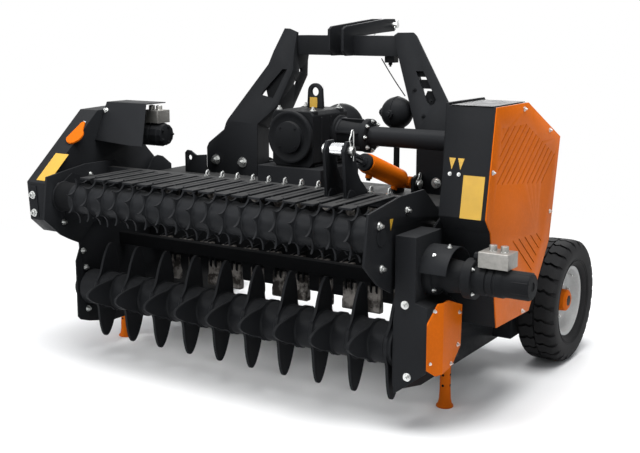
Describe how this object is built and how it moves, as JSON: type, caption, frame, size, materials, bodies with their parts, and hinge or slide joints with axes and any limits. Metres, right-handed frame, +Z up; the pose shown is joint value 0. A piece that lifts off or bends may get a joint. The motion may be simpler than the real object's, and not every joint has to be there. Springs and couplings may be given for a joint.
{
  "type": "pick-up pruning mulcher",
  "caption": "Tractor-carried pick-up mulcher with feed roller, tine pick-up roller, hammer rotor, three-point headstock, wheels and parking legs.",
  "frame": {"origin": "on the floor, below the middle of the bounding box", "axes": "+X to the right seen from the pick-up side, +Y from the pick-up side to the tractor side, +Z up"},
  "size_m": [2.19, 1.504, 1.39],
  "materials": {
    "black_paint": "satin powder coat",
    "orange_paint": "satin powder coat",
    "tyre_rubber": "matt",
    "rim_paint": "satin",
    "bright_steel": "ground",
    "black_plastic": "matt",
    "worn_steel": "forged",
    "zinc_steel": "zinc plated"
  },
  "bodies": {
    "chassis": {"left_side_plate": "black_paint", "right_side_plate": "black_paint", "rotor_hood": "black_paint", "counter_blade": "worn_steel", "bearing_housings": "black_paint", "rear_cross_tube": "black_paint", "headstock_left_leg": "black_paint", "headstock_right_leg": "black_paint", "top_beam": "black_paint", "top_link_bracket": "black_paint", "top_link_pin": "bright_steel", "deck_lug": "black_paint", "left_lower_hitch": "black_paint", "right_lower_hitch": "black_paint", "gearbox_platform": "black_paint", "gearbox": "black_paint", "lifting_eye": "black_paint", "shaft_guard": "black_plastic", "drive_tube": "black_paint", "belt_guard": "black_paint", "belt_guard_panel": "orange_paint", "belt_guard_carrier": "black_paint", "accumulator": "black_paint", "pickup_drive_case": "black_paint", "pickup_drive_cover": "orange_paint", "pickup_motor": "black_paint", "pickup_valve": "zinc_steel", "pickup_shield": "black_paint", "pivot_pins": "bright_steel", "cylinder_bracket": "black_paint", "left_wheel_arm": "black_paint", "right_wheel_arm": "black_paint", "left_leg_socket": "black_paint", "right_leg_socket": "black_paint"},
    "roller_frame": {"left_arm": "black_paint", "right_arm": "black_paint", "comb_deck": "black_paint", "fork": "black_paint", "fork_pin": "bright_steel", "chain_case": "black_paint", "feed_motor": "black_paint", "feed_valve": "zinc_steel", "motor_guard": "black_paint"},
    "feed_roller": {"feed_roller": "black_paint"},
    "pickup_roller": {"pickup_roller": "black_paint"},
    "hammer_rotor": {"hammer_rotor": "worn_steel"},
    "left_wheel": {"left_tyre": "tyre_rubber", "left_rim": "rim_paint", "left_hub": "orange_paint"},
    "right_wheel": {"right_tyre": "tyre_rubber", "right_rim": "rim_paint", "right_hub": "orange_paint"},
    "left_parking_leg": {"left_parking_leg": "orange_paint"},
    "right_parking_leg": {"right_parking_leg": "orange_paint"},
    "cylinder_barrel": {"cylinder_barrel": "orange_paint"},
    "cylinder_rod": {"cylinder_rod": "bright_steel"}
  },
  "joints": [
    {"name": "roller_frame_lift", "type": "hinge", "parent": "chassis", "child": "roller_frame", "pos_m": [-0.095, -0.237, 0.66], "axis": [-1, 0, 0], "range_deg": [0, 15]},
    {"name": "feed_roller_turn", "type": "hinge", "parent": "roller_frame", "child": "feed_roller", "pos_m": [-0.095, -0.647, 0.693], "axis": [1, 0, 0], "continuous": true},
    {"name": "pickup_roller_turn", "type": "hinge", "parent": "chassis", "child": "pickup_roller", "pos_m": [-0.095, -0.501, 0.29], "axis": [1, 0, 0], "continuous": true},
    {"name": "rotor_turn", "type": "hinge", "parent": "chassis", "child": "hammer_rotor", "pos_m": [-0.095, -0.057, 0.455], "axis": [1, 0, 0], "continuous": true},
    {"name": "left_wheel_turn", "type": "hinge", "parent": "chassis", "child": "left_wheel", "pos_m": [-1.015, 0.5, 0.252], "axis": [1, 0, 0], "continuous": true},
    {"name": "right_wheel_turn", "type": "hinge", "parent": "chassis", "child": "right_wheel", "pos_m": [0.825, 0.5, 0.252], "axis": [1, 0, 0], "continuous": true},
    {"name": "left_parking_leg_slide", "type": "slide", "parent": "chassis", "child": "left_parking_leg", "axis": [0, 0, 1], "range_m": [0, 0.12]},
    {"name": "right_parking_leg_slide", "type": "slide", "parent": "chassis", "child": "right_parking_leg", "axis": [0, 0, 1], "range_m": [0, 0.12]},
    {"name": "cylinder_tilt", "type": "hinge", "parent": "chassis", "child": "cylinder_barrel", "pos_m": [0.391, -0.012, 0.77], "axis": [-1, 0, 0], "range_deg": [0, 10.21]},
    {"name": "cylinder_stroke", "type": "slide", "parent": "cylinder_barrel", "child": "cylinder_rod", "axis": [0, -0.9422, 0.335], "range_m": [-0.05005, 0]}
  ],
  "couplings": [
    {"joint": "cylinder_tilt", "follows": "roller_frame_lift", "ratio": 0.68055},
    {"joint": "cylinder_stroke", "follows": "roller_frame_lift", "m_per_rad": -0.19116}
  ]
}
